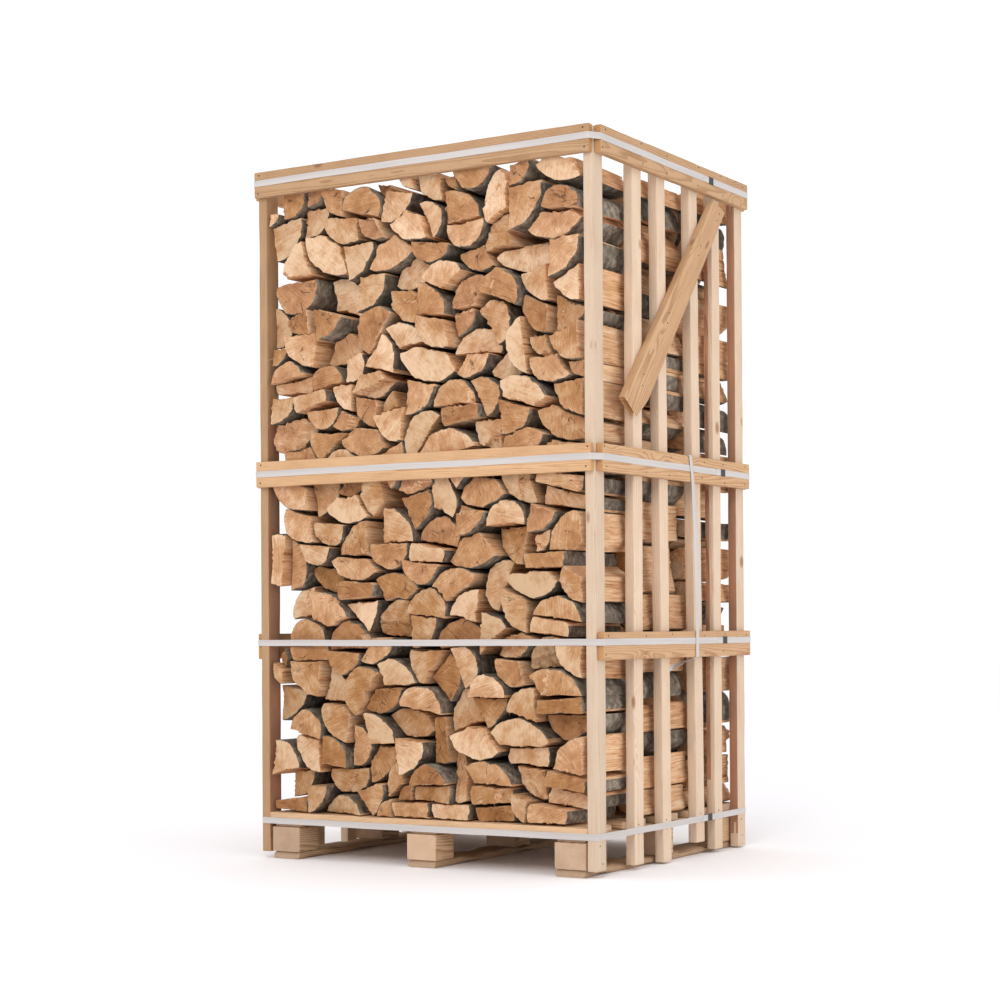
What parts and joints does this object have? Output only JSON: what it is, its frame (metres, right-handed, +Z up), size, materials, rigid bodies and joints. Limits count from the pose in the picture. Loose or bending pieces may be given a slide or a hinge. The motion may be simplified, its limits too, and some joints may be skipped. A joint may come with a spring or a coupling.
{
  "type": "firewood bundle",
  "caption": "Slatted crate of split beech firewood stacked on a block pallet, open at front and back, held by nailed rails, diagonal boards and plastic strapping with steel seals.",
  "frame": {"origin": "on the floor, at the middle of the pallet's footprint", "axes": "+Z up; +X to the right along the open front; +Y from the open front to the open back"},
  "size_m": [1.254, 1.0464, 2.15],
  "materials": {
    "pallet_pine": "rough-sawn softwood",
    "slat_pine": "fresh sawn pale softwood",
    "rail_pine": "sawn yellow softwood",
    "split_beech": "split and cross-cut beech with smooth grey bark",
    "strap_plastic": "white rolled strapping",
    "seal_steel": "dark crimped steel"
  },
  "bodies": {
    "root": {"skid_left": "pallet_pine", "skid_middle": "pallet_pine", "skid_right": "pallet_pine", "block_left_front": "pallet_pine", "block_left_middle": "pallet_pine", "block_left_back": "pallet_pine", "block_middle_front": "pallet_pine", "block_middle_middle": "pallet_pine", "block_middle_back": "pallet_pine", "block_right_front": "pallet_pine", "block_right_middle": "pallet_pine", "block_right_back": "pallet_pine", "stringer_left": "pallet_pine", "stringer_middle": "pallet_pine", "stringer_right": "pallet_pine", "deck_board_1": "pallet_pine", "deck_board_2": "pallet_pine", "deck_board_3": "pallet_pine", "deck_board_4": "pallet_pine", "deck_board_5": "pallet_pine", "post_front_left": "slat_pine", "slat_1_left": "slat_pine", "slat_2_left": "slat_pine", "slat_3_left": "slat_pine", "slat_4_left": "slat_pine", "post_back_left": "slat_pine", "post_front_right": "slat_pine", "slat_1_right": "slat_pine", "slat_2_right": "slat_pine", "slat_3_right": "slat_pine", "slat_4_right": "slat_pine", "post_back_right": "slat_pine", "rail_upper_left": "rail_pine", "rail_middle_left": "rail_pine", "rail_lower_left": "rail_pine", "rail_upper_right": "rail_pine", "rail_middle_right": "rail_pine", "rail_lower_right": "rail_pine", "rail_upper_front": "rail_pine", "rail_middle_front": "rail_pine", "rail_upper_back": "rail_pine", "rail_middle_back": "rail_pine", "brace_left": "rail_pine", "brace_right": "rail_pine", "log_row_front": "split_beech", "log_row_middle": "split_beech", "log_row_back": "split_beech", "strap_upper": "strap_plastic", "strap_middle": "strap_plastic", "strap_lower": "strap_plastic", "strap_pallet": "strap_plastic", "strap_tie": "strap_plastic", "seal_upper": "seal_steel", "seal_middle": "seal_steel", "seal_lower": "seal_steel", "seal_pallet": "seal_steel"}
  },
  "joints": []
}
